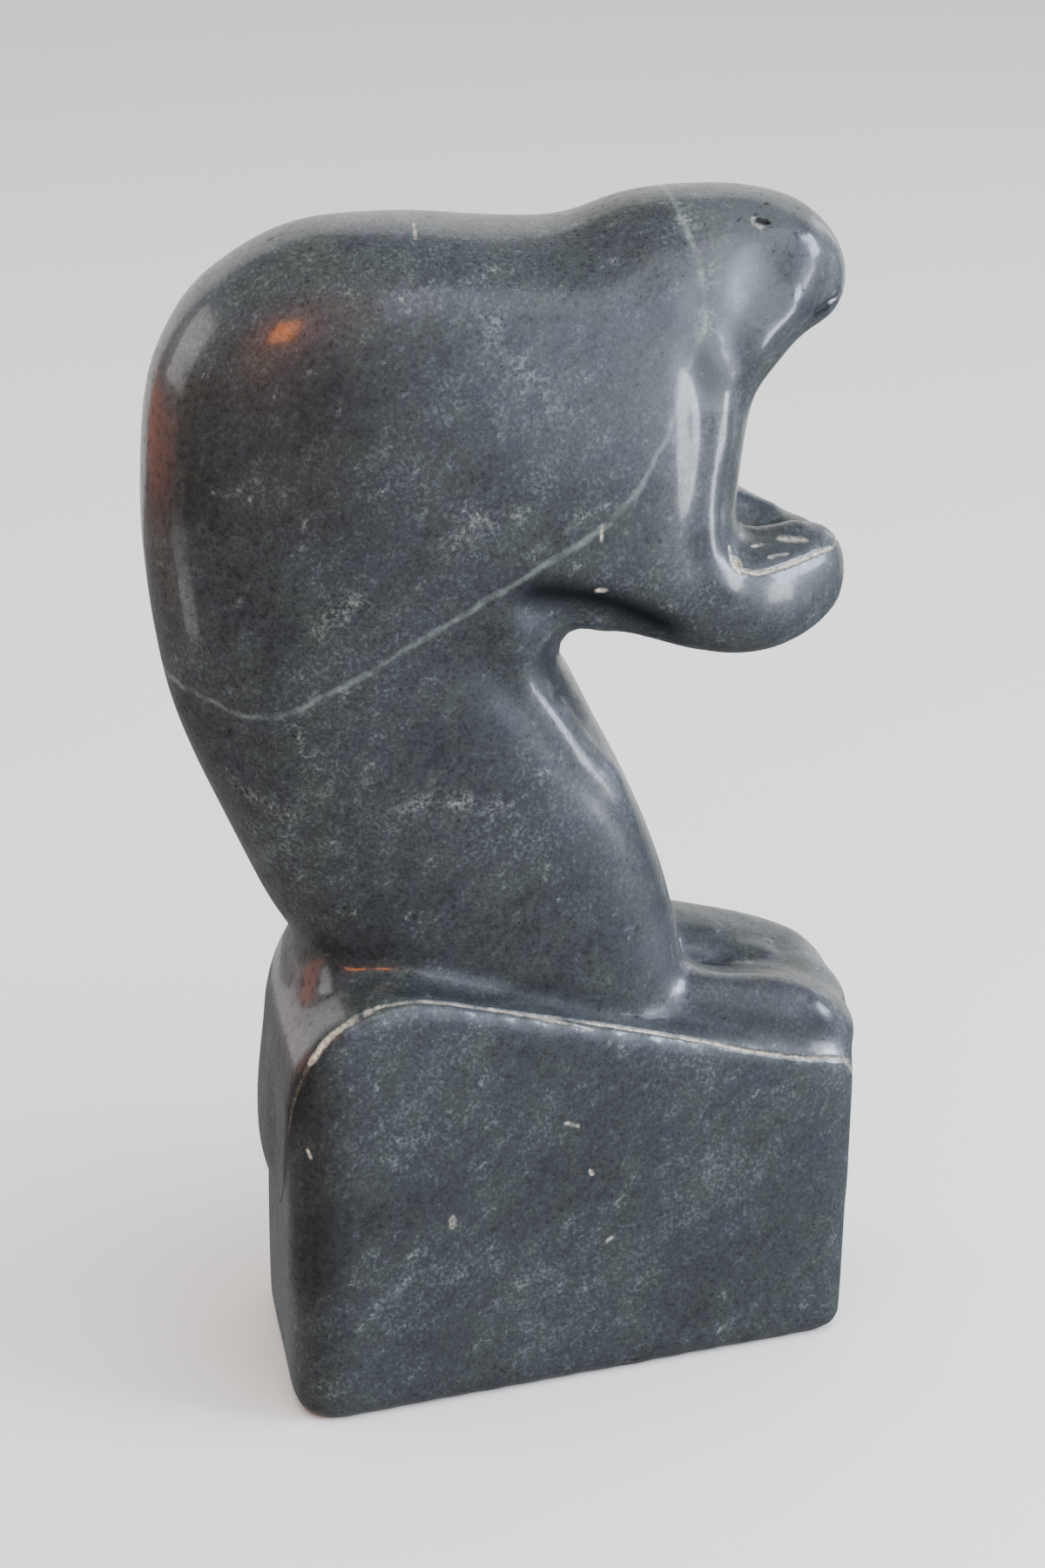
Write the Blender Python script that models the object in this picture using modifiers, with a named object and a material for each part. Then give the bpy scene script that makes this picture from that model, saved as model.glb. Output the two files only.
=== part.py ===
"""Soapstone bear carving: an upright bear on a wedge of rock, cut as one piece from one stone.

The bear faces +X, its left side is +Y, and the carving stands on z = 0.
"""

import math

import bmesh
import bpy
from mathutils import Vector
from mathutils.bvhtree import BVHTree

MM = 0.001

# The rock: a wedge with a sloping top, wider at the back than at the front
ROCK_BACK_X = -45 * MM
ROCK_LENGTH = 100 * MM
ROCK_BACK_WIDTH = 57 * MM
ROCK_FRONT_WIDTH = 40 * MM
ROCK_BACK_HEIGHT = 82 * MM
ROCK_FRONT_HEIGHT = 52 * MM
ROCK_LEFT_Y = 22 * MM
ROCK_FRONT_LEAN = 2 * MM
ROCK_SHOULDER_RADIUS = 19 * MM
ROCK_CORNER_RADIUS = 7 * MM
ROCK_BACK_LEFT_RADIUS = 15 * MM
ROCK_EDGE_RADIUS = 3 * MM
UNDERSIDE_TRIM = 0.5 * MM

# The bear, from inside the middle of the rock's sloping top up to the crown of its head
BEAR_HEIGHT = 132 * MM
GRID_STEPS = 132
BEAR_SINK = 1 * MM

# Cuts that the carver's tools left
GROOVE_WIDTH = 1.3 * MM
EYE_LENGTH = 2.8 * MM
EYE_HEIGHT = 1.5 * MM
MOUTH_WIDTH = 1.2 * MM
PAW_LINE_WIDTH = 1.1 * MM
DRILL_WIDTH = 2.2 * MM

# How finely the stone is worked out
RING_POINTS = 40
STEPS = 6
ARC_STEPS = 10
GRAIN = 0.9 * MM
SMOOTHING_STEPS = 9
EVENING_STEPS = 3
EDGE_SEGMENTS = 3
SQUARE_EDGE = math.radians(50)
KEPT_TRIANGLES = 6500
LIMB_SQUARENESS = 2.5
WELD = 1e-6

STONE_COLOUR = (0.072, 0.085, 0.099, 1.0)
STONE_ROUGHNESS = 0.32

UNIT = BEAR_HEIGHT / GRID_STEPS
ROCK_FRONT_X = ROCK_BACK_X + ROCK_LENGTH

# The body in side view: back (x, z), front (x, z), half width, squareness in front and behind
BODY = [
    (-37, -14, 25.5, -16, 21.0, 3.8, 2.6),
    (-38.5, 5, 26, -2, 21.5, 4.0, 2.6),
    (-45, 17, 23.4, 13, 22.0, 4.0, 2.6),
    (-51, 30.5, 19.4, 26, 22.5, 4.0, 2.5),
    (-56, 42, 14.2, 38, 23.0, 3.8, 2.5),
    (-59.5, 52.5, 9, 48.5, 23.5, 3.4, 2.4),
    (-61.5, 63, 6, 58.5, 24.0, 2.8, 2.4),
    (-62.7, 75, 18, 64, 24.5, 2.6, 2.4),
    (-63, 86.5, 33, 71, 25.0, 3.2, 2.4),
    (-61.7, 102, 33.2, 82, 25.0, 3.4, 2.4),
    (-58.4, 111.5, 34, 90, 24.5, 3.4, 2.4),
    (-51.8, 120.5, 35, 95, 23.5, 3.2, 2.4),
    (-38.2, 128, 35.8, 98, 22.0, 3.0, 2.4),
    (-21.7, 129.3, 36.8, 100, 20.5, 2.8, 2.4),
    (-6.4, 128, 38.2, 102, 19.0, 2.8, 2.4),
    (5.5, 128, 40.5, 104.7, 17.5, 2.8, 2.4),
    (16, 131.4, 42.4, 107, 16.0, 2.8, 2.4),
    (27.3, 132.3, 44.2, 108.5, 14.0, 2.8, 2.6),
    (37.3, 131.6, 46.2, 109.5, 12.0, 2.8, 2.8),
    (44.5, 129.3, 48.4, 110.4, 10.0, 2.8, 2.8),
    (49.4, 124.8, 50.2, 112.4, 8.0, 2.6, 2.6),
    (51.7, 119.6, 51.5, 115.6, 4.0, 2.2, 2.2),
]

# A limb is a row of rings along its length: x, y, z, half height, half thickness
RIGHT_ARM = [
    (-4, -9, 83, 13, 12),
    (12, -12.5, 75, 10.8, 10.5),
    (25, -12.5, 69, 9.4, 9.0),
    (34, -11.5, 67.4, 9.6, 8.6),
    (42, -8, 68.2, 9.0, 7.5),
    (48, -4.5, 70.6, 7.4, 5.8),
    (51.3, -3, 71.5, 3.5, 3),
]
LEFT_ARM = [
    (-4, 10, 86, 13, 12),
    (12, 13, 80, 11, 10),
    (26, 14.5, 74.3, 10, 8.0),
    (36, 13, 69.3, 9.3, 7.5),
    (44, 8, 67.4, 7.8, 7.0),
    (48, 3.5, 69.5, 6.0, 5.5),
    (50.5, 1.5, 70.5, 2.5, 2.5),
]
RUMP = [
    (-33, 0, 12, 3, 14),
    (-34, 0, 7, 5.5, 19),
    (-36, 0, -1, 6.2, 19),
    (-38, 0, -10, 6.8, 19),
    (-39.5, 0, -20, 6.9, 18),
    (-40, 0, -30, 6.8, 15.5),
    (-41, 0, -36, 4.5, 10),
]

# Feet stand on the rock: distance behind its front, y, height above its top, half height, half width
RIGHT_FOOT = [
    (49, -9, -1, 8, 8),
    (37, -10, 0.5, 7, 8.5),
    (25, -10, 1.2, 6.8, 9),
    (14, -8.5, 2.0, 7.6, 9.8),
    (8, -7.5, 0.8, 8.0, 9.6),
    (4, -7, -1.5, 6.5, 8),
    (2.6, -7, -3, 3, 4),
]
LEFT_FOOT = [
    (49, 9, 0, 9.5, 8),
    (37, 10.5, 2.0, 9.0, 8.5),
    (25, 11, 3.0, 8.8, 9),
    (14, 10.5, 3.0, 8.6, 9.6),
    (8, 9.5, 1.4, 8.6, 9.4),
    (4.5, 9, -1.0, 7.0, 8),
    (3, 9, -3, 3, 4),
]
JOINED_TOES = [
    (32, 1, -5, 5, 6),
    (20, 1, -1, 6.5, 7),
    (12, 1, 1.4, 8.0, 8),
    (7, 1, 0.8, 8.6, 9),
    (4, 1, -1.2, 7.2, 8),
    (2.6, 1, -3, 3, 4),
]

# Cuts, laid on the stone where it comes nearest to their places.
# The groove round the bear: share of the rock's length, share of its half width, height over its top
GROOVE = [
    (0.98, -0.96, -2.1), (0.89, -0.96, -2), (0.78, -0.97, -1.7), (0.64, -0.95, -1),
    (0.47, -0.96, -0.2), (0.3, -0.97, 0.5), (0.22, -0.97, 0.3), (0.15, -0.96, -0.1),
    (0.1, -0.97, -3.5), (0.06, -0.97, -6.8), (0.04, -0.97, -11.2), (0.01, -0.96, -15),
    (-0.01, -0.75, -29.8), (-0.02, -0.5, -42.1), (-0.02, -0.22, -51.1), (-0.02, 0.23, -55.1),
    (-0.02, 0.62, -51.1), (-0.01, 0.83, -41.8), (0.03, 0.96, -27.6), (0.07, 1.04, -14.4),
    (0.11, 1.07, -8.2), (0.2, 1.07, -3.5), (0.33, 1.08, -2.6), (0.49, 1.08, -2.8),
    (0.69, 1.09, -2.8), (0.89, 1.1, -3.8),
]
# The other cuts: x, y, z on the bear's grid
MOUTH = [(44, -10, 111), (48, -8, 112.3), (51.3, -4, 114.6), (52.5, 0, 115.4),
         (51.3, 4, 114.6), (48, 8, 112.3), (44, 10, 111)]
PAW_LINE = [(31.5, -17, 73.4), (35, -17, 73), (39.5, -15, 73.6), (44.5, -11, 74.9), (49, -7, 75.6),
            (52, -2, 74.5), (52, 0, 70), (51, 0, 64)]
DRILL_SPOT = (31.2, -17, 73.6)
EYES = [(34.6, -11, 128.1), (34.6, 11, 128.1)]


def rock_top(x):
    """Height of the rock's sloping top at x."""
    along = (x - ROCK_BACK_X) / ROCK_LENGTH
    return ROCK_BACK_HEIGHT + (ROCK_FRONT_HEIGHT - ROCK_BACK_HEIGHT) * along


def rock_point(along, across, above):
    """A place on the rock: along from back to front, across from right (-1) to left (1)."""
    x = ROCK_BACK_X + ROCK_LENGTH * along
    width = ROCK_BACK_WIDTH + (ROCK_FRONT_WIDTH - ROCK_BACK_WIDTH) * along
    return Vector((x, ROCK_LEFT_Y + (across - 1) * width / 2, rock_top(x) + above * UNIT))


def bear_point(x, y, z):
    """A place on the bear's grid, whose zero height is just inside the middle of the rock's top."""
    return Vector((x * UNIT, y * UNIT, rock_top(0) - BEAR_SINK + z * UNIT))


def smooth_rows(rows):
    """The rows and more between them, on Catmull-Rom curves through their numbers."""
    result = []
    for i in range(len(rows) - 1):
        before, first = rows[max(i - 1, 0)], rows[i]
        last, after = rows[i + 1], rows[min(i + 2, len(rows) - 1)]
        for step in range(STEPS):
            t = step / STEPS
            result.append(tuple(
                0.5 * (2 * b + (c - a) * t + (2 * a - 5 * b + 4 * c - d) * t**2
                       + (3 * b - a - 3 * c + d) * t**3)
                for a, b, c, d in zip(before, first, last, after)
            ))
    result.append(rows[-1])
    return result


def rounded(value, squareness):
    """A sine or cosine pulled out towards a square."""
    return math.copysign(abs(value) ** (2 / squareness), value)


def ring(centre, long_way, side_way, front_square, back_square):
    """Points around a rounded section."""
    points = []
    for i in range(RING_POINTS):
        angle = 2 * math.pi * i / RING_POINTS
        square = front_square if math.cos(angle) > 0 else back_square
        along = rounded(math.cos(angle), square)
        across = rounded(math.sin(angle), square)
        points.append(centre + along * long_way + across * side_way)
    return points


def add_skin(bm, rings):
    """A closed skin over rings of points."""
    loops = [[bm.verts.new(point) for point in points] for points in rings]
    for first, second in zip(loops, loops[1:]):
        for i in range(RING_POINTS):
            j = (i + 1) % RING_POINTS
            bm.faces.new((first[i], first[j], second[j], second[i]))
    bm.faces.new(reversed(loops[0]))
    bm.faces.new(loops[-1])


def add_body(bm):
    """The seated body and head, ring by ring from the rock to the ears."""
    rings = []
    for back_x, back_z, front_x, front_z, half_width, front_square, back_square in smooth_rows(BODY):
        back = bear_point(back_x, 0, back_z)
        front = bear_point(front_x, 0, front_z)
        side = Vector((0, half_width * UNIT, 0))
        rings.append(ring((back + front) / 2, (front - back) / 2, side, front_square, back_square))
    add_skin(bm, rings)


def add_limb(bm, places, half_heights, half_widths):
    """A skin around a line of places."""
    rings = []
    for i, place in enumerate(places):
        way = (places[min(i + 1, len(places) - 1)] - places[max(i - 1, 0)]).normalized()
        side = way.cross(Vector((0, 0, 1))).normalized()
        up = side.cross(way)
        rings.append(ring(place, up * half_heights[i], side * half_widths[i],
                          LIMB_SQUARENESS, LIMB_SQUARENESS))
    add_skin(bm, rings)


def add_arm(bm, rows):
    """One arm, from the shoulder to the end of its paw."""
    rows = smooth_rows(rows)
    places = [bear_point(*row[:3]) for row in rows]
    add_limb(bm, places, [row[3] * UNIT for row in rows], [row[4] * UNIT for row in rows])


def add_foot(bm, rows):
    """One foot, lying on the rock's sloping top."""
    rows = smooth_rows(rows)
    places = []
    for behind_front, y, above_rock, _, _ in rows:
        x = ROCK_FRONT_X - behind_front * UNIT
        places.append(Vector((x, y * UNIT, rock_top(x) + above_rock * UNIT)))
    add_limb(bm, places, [row[3] * UNIT for row in rows], [row[4] * UNIT for row in rows])


def add_rump(bm):
    """The broad seat that hangs down the back of the rock."""
    rings = []
    for x, y, z, half_depth, half_width in smooth_rows(RUMP):
        centre = bear_point(x, y, z)
        depth = Vector((-half_depth * UNIT, 0, 0))
        side = Vector((0, half_width * UNIT, 0))
        rings.append(ring(centre, depth, side, LIMB_SQUARENESS, LIMB_SQUARENESS))
    add_skin(bm, rings)


def rounded_outline(corners):
    """An outline whose corners (a, b, radius) are turned into arcs."""
    outline = []
    for i, (a, b, radius) in enumerate(corners):
        corner = Vector((a, b, 0))
        before = (Vector((*corners[i - 1][:2], 0)) - corner).normalized()
        after = (Vector((*corners[(i + 1) % len(corners)][:2], 0)) - corner).normalized()
        half = before.angle(after) / 2
        if radius == 0:
            outline.append(corner)
            continue
        centre = corner + (before + after).normalized() * radius / math.sin(half)
        start = (corner + before * radius / math.tan(half) - centre).normalized()
        end = (corner + after * radius / math.tan(half) - centre).normalized()
        for step in range(ARC_STEPS + 1):
            outline.append(centre + radius * start.slerp(end, step / ARC_STEPS))
    return outline


def slab(name, outline, push):
    """A closed slab: the outline's face, pushed along a vector."""
    bm = bmesh.new()
    face = bm.faces.new([bm.verts.new(point) for point in outline])
    grown = bmesh.ops.extrude_face_region(bm, geom=[face])
    far_points = [g for g in grown["geom"] if isinstance(g, bmesh.types.BMVert)]
    bmesh.ops.translate(bm, vec=push, verts=far_points)
    bmesh.ops.recalc_face_normals(bm, faces=bm.faces)
    mesh = bpy.data.meshes.new(name)
    bm.to_mesh(mesh)
    bm.free()
    return bpy.data.objects.new(name, mesh)


def add_rock(bm, collection):
    """The rock: its outline from above, cut to its outline from the side."""
    right_back = ROCK_LEFT_Y - ROCK_BACK_WIDTH
    plan = rounded_outline([
        (ROCK_BACK_X, right_back, ROCK_CORNER_RADIUS),
        (ROCK_FRONT_X, ROCK_LEFT_Y - ROCK_FRONT_WIDTH, ROCK_CORNER_RADIUS),
        (ROCK_FRONT_X, ROCK_LEFT_Y, ROCK_CORNER_RADIUS),
        (ROCK_BACK_X, ROCK_LEFT_Y, ROCK_BACK_LEFT_RADIUS),
    ])
    side = rounded_outline([
        (ROCK_BACK_X, -UNDERSIDE_TRIM, 0),
        (ROCK_FRONT_X - ROCK_FRONT_LEAN, -UNDERSIDE_TRIM, 0),
        (ROCK_FRONT_X, ROCK_FRONT_HEIGHT, ROCK_EDGE_RADIUS),
        (ROCK_BACK_X, ROCK_BACK_HEIGHT, ROCK_SHOULDER_RADIUS),
    ])
    below = Vector((0, 0, -2 * UNDERSIDE_TRIM))
    block = slab("rock_plan", [p + below for p in plan], Vector((0, 0, 2 * ROCK_BACK_HEIGHT)))
    right_edge = right_back - ROCK_EDGE_RADIUS
    cutter = slab("rock_side", [Vector((p.x, right_edge, p.y)) for p in side],
                  Vector((0, ROCK_BACK_WIDTH + 2 * ROCK_EDGE_RADIUS, 0)))
    for obj in (block, cutter):
        collection.objects.link(obj)
    cut = block.modifiers.new("Side", "BOOLEAN")
    cut.operation = "INTERSECT"
    cut.solver = "EXACT"
    cut.object = cutter
    soften = block.modifiers.new("Soften", "BEVEL")
    soften.limit_method = "ANGLE"
    soften.angle_limit = SQUARE_EDGE
    soften.width = ROCK_EDGE_RADIUS
    soften.segments = EDGE_SEGMENTS
    mesh = evaluated_mesh(block)
    for obj in (block, cutter):
        bpy.data.objects.remove(obj)
    bm.from_mesh(mesh)
    bpy.data.meshes.remove(mesh)


def evaluated_mesh(obj):
    """The object's mesh with its modifiers worked in."""
    bpy.context.view_layer.update()
    graph = bpy.context.evaluated_depsgraph_get()
    return bpy.data.meshes.new_from_object(obj.evaluated_get(graph), depsgraph=graph)


def worked_stone(collection):
    """All the rough forms fused into one stone, smoothed and cut flat below."""
    bm = bmesh.new()
    add_body(bm)
    add_arm(bm, RIGHT_ARM)
    add_arm(bm, LEFT_ARM)
    add_foot(bm, RIGHT_FOOT)
    add_foot(bm, LEFT_FOOT)
    add_foot(bm, JOINED_TOES)
    add_rump(bm)
    add_rock(bm, collection)
    bmesh.ops.recalc_face_normals(bm, faces=bm.faces)
    mesh = bpy.data.meshes.new("rough_stone")
    bm.to_mesh(mesh)
    bm.free()
    rough = bpy.data.objects.new("rough_stone", mesh)
    collection.objects.link(rough)

    remesh = rough.modifiers.new("Fuse", "REMESH")
    remesh.mode = "VOXEL"
    remesh.voxel_size = GRAIN
    smooth = rough.modifiers.new("Polish", "SMOOTH")
    smooth.factor = 0.5
    smooth.iterations = SMOOTHING_STEPS
    fine = evaluated_mesh(rough)
    fine_triangles = sum(len(face.vertices) - 2 for face in fine.polygons)
    bpy.data.meshes.remove(fine)
    decimate = rough.modifiers.new("Lighten", "DECIMATE")
    decimate.ratio = min(1.0, KEPT_TRIANGLES / fine_triangles)
    stone = evaluated_mesh(rough)
    bpy.data.objects.remove(rough)

    bm = bmesh.new()
    bm.from_mesh(stone)
    cut = bmesh.ops.bisect_plane(bm, geom=bm.verts[:] + bm.edges[:] + bm.faces[:], dist=WELD,
                                 plane_co=(0, 0, 0), plane_no=(0, 0, 1), clear_inner=True)
    rim = [g for g in cut["geom_cut"] if isinstance(g, bmesh.types.BMEdge)]
    bmesh.ops.contextual_create(bm, geom=rim)
    bmesh.ops.triangulate(bm, faces=[f for f in bm.faces if len(f.verts) > 3])
    bmesh.ops.recalc_face_normals(bm, faces=bm.faces)
    bm.to_mesh(stone)
    bm.free()
    stone.name = "bear_carving"
    return stone


def add_cutter(name, mesh, collection, bear):
    """Takes a cutter's shape out of the stone."""
    cutter = bpy.data.objects.new(name, mesh)
    cutter.hide_render = True
    cutter.display_type = "WIRE"
    collection.objects.link(cutter)
    cut = bear.modifiers.new(name, "BOOLEAN")
    cut.operation = "DIFFERENCE"
    cut.solver = "EXACT"
    cut.object = cutter


def evened(places):
    """The places with each drawn towards its neighbours, so that the line has no kinks."""
    for _ in range(EVENING_STEPS):
        inner = [(a + 2 * b + c) / 4 for a, b, c in zip(places, places[1:], places[2:])]
        places = [places[0], *inner, places[-1]]
    return places


def scored_line(name, points, width, surface, collection, bear):
    """A round-bottomed line scored near the points, half as deep as it is wide."""
    places = evened([surface.find_nearest(point)[0] for point in points])
    curve = bpy.data.curves.new(name, "CURVE")
    curve.dimensions = "3D"
    curve.bevel_depth = width / 2
    curve.bevel_resolution = 1
    curve.use_fill_caps = True
    spline = curve.splines.new("POLY")
    spline.points.add(len(places) - 1)
    for point, place in zip(spline.points, places):
        point.co = (*place, 1)
    line = bpy.data.objects.new(name, curve)
    collection.objects.link(line)
    mesh = evaluated_mesh(line)
    bpy.data.objects.remove(line)
    bm = bmesh.new()
    bm.from_mesh(mesh)
    bmesh.ops.remove_doubles(bm, verts=bm.verts, dist=WELD)
    bmesh.ops.recalc_face_normals(bm, faces=bm.faces)
    bm.to_mesh(mesh)
    bm.free()
    add_cutter(name, mesh, collection, bear)


def hollow(name, point, size, surface, collection, bear):
    """A round or oval dent, centred on the stone's surface."""
    place = surface.find_nearest(bear_point(*point))[0]
    mesh = bpy.data.meshes.new(name)
    bm = bmesh.new()
    bmesh.ops.create_uvsphere(bm, u_segments=12, v_segments=8, radius=0.5)
    bmesh.ops.scale(bm, vec=size, verts=bm.verts)
    bmesh.ops.translate(bm, vec=place, verts=bm.verts)
    bm.to_mesh(mesh)
    bm.free()
    add_cutter(name, mesh, collection, bear)


def main():
    for old in list(bpy.data.objects):
        bpy.data.objects.remove(old)
    parts = bpy.data.collections.new("soapstone_bear_carving")
    cutters = bpy.data.collections.new("cutters")
    bpy.context.scene.collection.children.link(parts)
    bpy.context.scene.collection.children.link(cutters)

    stone = worked_stone(parts)
    bear = bpy.data.objects.new("bear_carving", stone)
    parts.objects.link(bear)
    material = bpy.data.materials.new("soapstone")
    material.use_nodes = True
    shader = material.node_tree.nodes["Principled BSDF"]
    shader.inputs["Base Color"].default_value = STONE_COLOUR
    shader.inputs["Roughness"].default_value = STONE_ROUGHNESS
    stone.materials.append(material)
    stone.shade_smooth()
    stone.set_sharp_from_angle(angle=SQUARE_EDGE)

    bm = bmesh.new()
    bm.from_mesh(stone)
    surface = BVHTree.FromBMesh(bm)
    bm.free()
    groove = [rock_point(*row) for row in smooth_rows(GROOVE)]
    mouth = [bear_point(*row) for row in smooth_rows(MOUTH)]
    paw_line = [bear_point(*row) for row in smooth_rows(PAW_LINE)]
    scored_line("rock_groove", groove, GROOVE_WIDTH, surface, cutters, bear)
    scored_line("mouth", mouth, MOUTH_WIDTH, surface, cutters, bear)
    scored_line("paw_line", paw_line, PAW_LINE_WIDTH, surface, cutters, bear)
    hollow("drill_spot", DRILL_SPOT, (DRILL_WIDTH,) * 3, surface, cutters, bear)
    for name, eye in zip(("right_eye", "left_eye"), EYES):
        hollow(name, eye, (EYE_LENGTH, EYE_HEIGHT, EYE_HEIGHT), surface, cutters, bear)


main()
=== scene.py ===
"""Soapstone bear carving: the finished looks of a carving cut as one piece from one stone.

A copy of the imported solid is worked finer, its ridges drawn up and its lines recut, and it
gets a polished soapstone finish. It stands on a plain floor in soft light.
"""

import math

import bmesh
import bpy
import numpy as np
from bpy.props import FloatProperty, IntProperty, PointerProperty, StringProperty
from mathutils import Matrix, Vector, noise
from mathutils.bvhtree import BVHTree


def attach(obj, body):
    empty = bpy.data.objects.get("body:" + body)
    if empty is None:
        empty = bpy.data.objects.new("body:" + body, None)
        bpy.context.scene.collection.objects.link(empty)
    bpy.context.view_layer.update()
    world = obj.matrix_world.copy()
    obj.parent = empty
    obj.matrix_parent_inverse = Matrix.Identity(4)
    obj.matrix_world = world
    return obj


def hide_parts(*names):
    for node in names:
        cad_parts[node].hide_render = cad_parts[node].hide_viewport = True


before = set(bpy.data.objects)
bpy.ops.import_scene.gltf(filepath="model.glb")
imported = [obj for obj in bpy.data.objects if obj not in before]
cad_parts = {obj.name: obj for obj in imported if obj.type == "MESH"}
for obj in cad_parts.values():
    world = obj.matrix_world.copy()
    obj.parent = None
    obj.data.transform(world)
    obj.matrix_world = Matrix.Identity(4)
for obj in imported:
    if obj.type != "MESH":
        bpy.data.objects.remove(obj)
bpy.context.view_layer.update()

bl_info = {
    "name": "Soapstone Bear Carving",
    "version": (1, 0, 0),
    "blender": (4, 5, 0),
    "location": "View3D > Sidebar > Carving",
    "description": "An upright bear on a wedge of rock, carved from one soapstone",
    "category": "Object",
}

MM = 0.001
NODE = "bear_carving"

# Broad forms drawn up (ridges) or worked down (hollows), in millimetres in the carving's frame:
# x forward, y to its left, z up. Each has its height or depth, its reach to either side and the
# points of its line. Both sides of the bear have them.
RIDGES = {
    "cheek": (1.0, 4.5, [(36, -10.5, 195.5), (39.5, -10.5, 194.5), (42.5, -10.5, 192.5),
                         (43, -11, 190), (42, -12, 187), (40, -13, 183.5), (36.5, -14.5, 181),
                         (34, -15.5, 178), (32.5, -16, 175.5), (31.5, -15.5, 170.5)]),
    "throat": (0.8, 3.2, [(41, -12.5, 185), (38, -14, 182), (35, -15.5, 179), (33, -16.5, 175),
                          (32, -16.5, 170)]),
    "chest": (1.3, 3.6, [(24.5, -17.5, 181.5), (26.5, -18, 177), (28, -17.5, 170.5),
                         (28, -18.5, 163.5), (27, -19, 158), (26, -19.5, 151),
                         (26, -19.5, 147), (27.5, -20, 142), (29.5, -21, 137)]),
    "belly": (0.9, 4.0, [(-7, -24, 139), (-6, -22.5, 131.5), (-2.5, -20, 124.5),
                         (1.5, -19, 118.5), (5, -18.5, 113), (9, -17.5, 108), (13, -16, 102.5),
                         (16.5, -14.5, 96.5)]),
    "inner belly": (0.5, 2.4, [(2, -17, 122), (5, -16.5, 117.5), (9.5, -15, 111), (14, -14, 103)]),
    "paw top": (1.1, 3.2, [(33, -9, 144.5), (38, -8.5, 145.5), (45.5, -7, 145)]),
}
HOLLOWS = {
    "shoulder": (0.75, 5.5, [(24.5, -18.5, 180), (25.5, -19, 171), (26, -19.5, 164),
                            (26, -20, 157), (25, -20, 150)]),
    "armpit": (2.6, 5.0, [(1, -23, 138), (2.5, -19, 134), (3, -11, 132), (3, 0, 131.5),
                          (3, 8, 131.5)]),
    "scoop": (0.8, 4.0, [(-3, -21.5, 132.5), (0.5, -18.5, 126), (3.5, -17.5, 121), (7, -16.5, 115),
                         (11, -15.5, 108)]),
    "under arm": (1.8, 4.5, [(-6, -24.5, 140.5), (0.5, -24, 138.5), (7.5, -22.5, 137),
                             (15, -21, 133), (22.5, -19, 129)]),
    "jaw": (0.7, 6.0, [(31, -14.5, 190.5), (34, -14.5, 186.5), (32, -15, 181)]),
    "nape": (0.5, 4.0, [(22, -9, 197), (23.5, -15, 190), (22, -18, 183)]),
}
# Forms of the feet, in the same way. The feet aren't alike
FOOT_RIDGES = {
    "left foot": (0.9, 3.0, [(27, 1, 67), (35, 1.5, 65.5), (45, 3, 65)]),
    "right foot": (0.7, 3.5, [(25, -14, 69), (29, -14, 67.5), (39, -13, 66), (46.5, -14, 63.5),
                              (51, -14, 60)]),
    "right toe": (0.4, 2.2, [(45, -15.5, 62.5), (50.5, -15.5, 58)]),
}
FOOT_HOLLOWS = {
    "between feet": (0.4, 5.0, [(27, -7, 67), (35.5, -6, 66), (44.5, -3, 64), (50, -4, 62)]),
    "left foot top": (1.4, 10.0, [(14, 10, 73), (24, 10, 71.5), (33, 10, 70), (42, 8, 67),
                                  (49, 7, 64)]),
}

# Cut lines: half width, depth, pale stone powder left in the cut (0 to 1) and points. A cut with
# no powder is painted dark inside, as painted shade
ROCK_GROOVE = [
    (54, -15, 48.5), (52, -16, 51.5), (49, -17.5, 53), (44, -18.5, 54), (33, -20, 57),
    (18.5, -22.5, 62), (2, -25.5, 68), (-14.5, -28.5, 73.5), (-23.5, -30, 76),
    (-30.5, -31.5, 78), (-35, -32, 75.5), (-39, -33, 73.5), (-41.5, -33.5, 70),
    (-43.5, -33.5, 67), (-46, -28, 52.5), (-46.5, -21, 40), (-46.5, -13, 31.5),
    (-46.5, 0, 27.5), (-46.5, 11, 31.5), (-46, 17, 40.5), (-42, 21, 53.5), (-38, 23, 65.5),
    (-34, 24, 70.5), (-25, 24, 72.5), (-12, 24, 69.5), (4, 24, 64.5), (24, 24, 58.5),
    (44, 24, 51.5),
]
CUTS = {
    "rock groove": (0.35, 0.4, 0.15, ROCK_GROOVE),
    "groove shoulder": (0.6, 0.35, 1.0, ROCK_GROOVE[9:14]),
    "groove back": (0.25, 0.2, 0.45, ROCK_GROOVE[6:10]),
    "groove side": (0.25, 0.3, 0.85, ROCK_GROOVE[3:7]),
    "groove front": (0.5, 0.3, 0.35, ROCK_GROOVE[0:4]),
    "slip below groove": (0.25, 0.15, 0.6, [(-11.5, -27, 70.5), (-2.5, -26, 68), (6.5, -25, 65)]),
    "paw line": (0.35, 0.6, 0.9, [(30.5, -19, 141.5), (34.5, -18.5, 140.5), (39.5, -16.5, 141),
                                 (45, -13, 141.5), (49, -9.5, 141.5)]),
    "paws joined": (0.4, 0.6, 0.3, [(49, -9.5, 141.5), (52, -4, 142), (52.5, 0, 139),
                                    (51.5, 0, 131)]),
    "wrist": (0.7, 1.0, 0.9, [(30, -18.5, 143), (31, -18.5, 142)]),
    "thumb": (0.45, 0.3, 0.8, [(29.5, -17.5, 145), (29.5, -19, 142.5), (31, -19.5, 141)]),
}
# Cuts on both sides of the face
FACE_CUTS = {
    "eye": (0.6, 0.8, 0.0, [(34.5, -10.5, 196.5), (36.5, -10.5, 195.5)]),
    "eye corner": (0.2, 0.05, 0.3, [(35.5, -11, 195), (34, -11, 195.5), (34, -10.5, 197)]),
    "mouth": (0.5, 0.5, 0.0, [(45, -10.5, 181), (47.5, -8.5, 182.5), (50, -5, 183.5), (51, 0, 184)]),
}
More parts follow.
